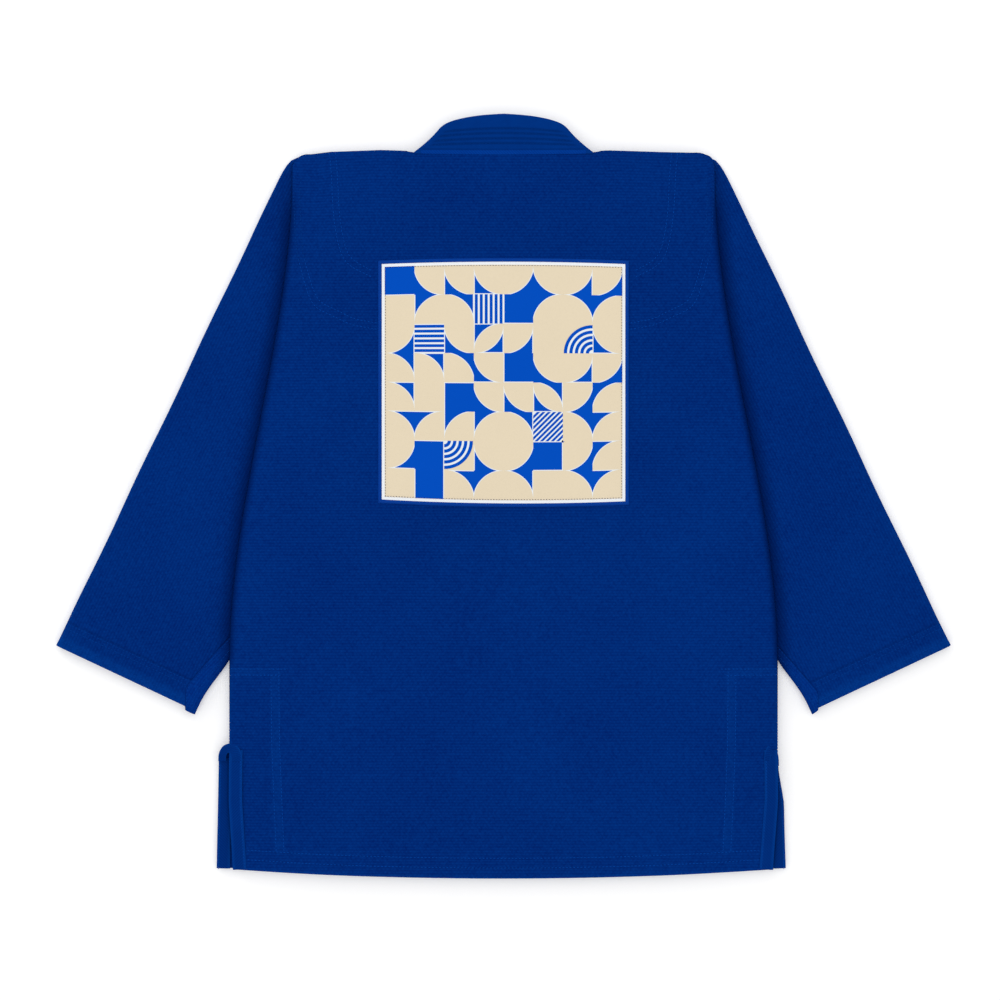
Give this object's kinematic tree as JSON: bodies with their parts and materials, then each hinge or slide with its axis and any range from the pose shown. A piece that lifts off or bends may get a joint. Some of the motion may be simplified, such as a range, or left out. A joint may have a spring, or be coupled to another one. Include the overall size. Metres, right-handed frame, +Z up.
{
  "type": "grappling gi jacket",
  "caption": "Blue pearl-weave martial arts jacket laid flat, back up, with sewn collar, side vents, hollow sleeves and a square back patch.",
  "frame": {"origin": "on the surface the jacket lies on, under the middle of its outline", "axes": "+X towards the wearer's right sleeve, +Y towards the collar, +Z up away from the surface; the back faces up"},
  "size_m": [0.972, 0.8272, 0.0214],
  "materials": {
    "body_cloth": "matte pearl weave",
    "band_twill": "matte twill",
    "vent_tape": "matte twill tape",
    "patch_print": "printed canvas",
    "patch_white": "canvas",
    "patch_border": "satin stitch",
    "band_core": "matte"
  },
  "bodies": {
    "jacket_back": {"back_panel": "body_cloth", "shoulder_reinforcement": "band_twill", "right_side_reinforcement": "body_cloth", "left_side_reinforcement": "body_cloth", "right_front_side": "body_cloth", "left_front_side": "body_cloth", "right_shoulder_fold": "body_cloth", "left_shoulder_fold": "body_cloth", "right_armhole_seam": "body_cloth", "left_armhole_seam": "body_cloth", "right_side_seam": "body_cloth", "left_side_seam": "body_cloth", "right_sleeve_head_front": "body_cloth", "left_sleeve_head_front": "body_cloth", "right_sleeve_head_back": "body_cloth", "left_sleeve_head_back": "body_cloth", "right_armpit_gusset": "body_cloth", "left_armpit_gusset": "body_cloth", "patch_base": "patch_white", "patch_panel": "patch_print", "patch_border": "patch_border"},
    "collar": {"collar_cover": "band_twill", "collar_core": "band_core"},
    "tail": {"tail_panel": "body_cloth", "tail_hem": "body_cloth", "right_tail_tape": "vent_tape", "left_tail_tape": "vent_tape", "right_tail_reinforcement": "body_cloth", "left_tail_reinforcement": "body_cloth"},
    "right_front": {"right_front_panel": "body_cloth", "right_front_hem": "body_cloth", "right_front_tape": "vent_tape", "right_lapel_cover": "band_twill", "right_lapel_core": "band_core"},
    "right_sleeve": {"right_sleeve_back": "body_cloth", "right_sleeve_front": "body_cloth", "right_sleeve_fold": "body_cloth", "right_sleeve_seam": "body_cloth", "right_cuff_band": "vent_tape"},
    "left_front": {"left_front_panel": "body_cloth", "left_front_hem": "body_cloth", "left_front_tape": "vent_tape", "left_lapel_cover": "band_twill", "left_lapel_core": "band_core"},
    "left_sleeve": {"left_sleeve_back": "body_cloth", "left_sleeve_front": "body_cloth", "left_sleeve_fold": "body_cloth", "left_sleeve_seam": "body_cloth", "left_cuff_band": "vent_tape"}
  },
  "joints": [
    {"name": "right_sleeve_fold_over", "type": "hinge", "parent": "jacket_back", "child": "right_sleeve", "pos_m": [0.27067, 0.09281, 0.02], "axis": [0.1241, -0.9923, 0], "range_deg": [0, 175]},
    {"name": "left_sleeve_fold_over", "type": "hinge", "parent": "jacket_back", "child": "left_sleeve", "pos_m": [-0.27067, 0.09281, 0.02], "axis": [0.1241, 0.9923, 0], "range_deg": [0, 175]},
    {"name": "tail_lift", "type": "hinge", "parent": "jacket_back", "child": "tail", "pos_m": [0, -0.268, 0.02], "axis": [-1, 0, 0], "range_deg": [0, 130]},
    {"name": "collar_stand", "type": "hinge", "parent": "jacket_back", "child": "collar", "pos_m": [0, 0.3662, 0.0216], "axis": [1, 0, 0], "range_deg": [0, 90]},
    {"name": "right_front_open", "type": "hinge", "parent": "jacket_back", "child": "right_front", "pos_m": [0.2075, 0.05285, 0], "axis": [0.2687, -0.9632, 0], "range_deg": [0, 120]},
    {"name": "left_front_open", "type": "hinge", "parent": "jacket_back", "child": "left_front", "pos_m": [-0.2075, 0.05285, 0], "axis": [0.2687, 0.9632, 0], "range_deg": [0, 120]}
  ]
}
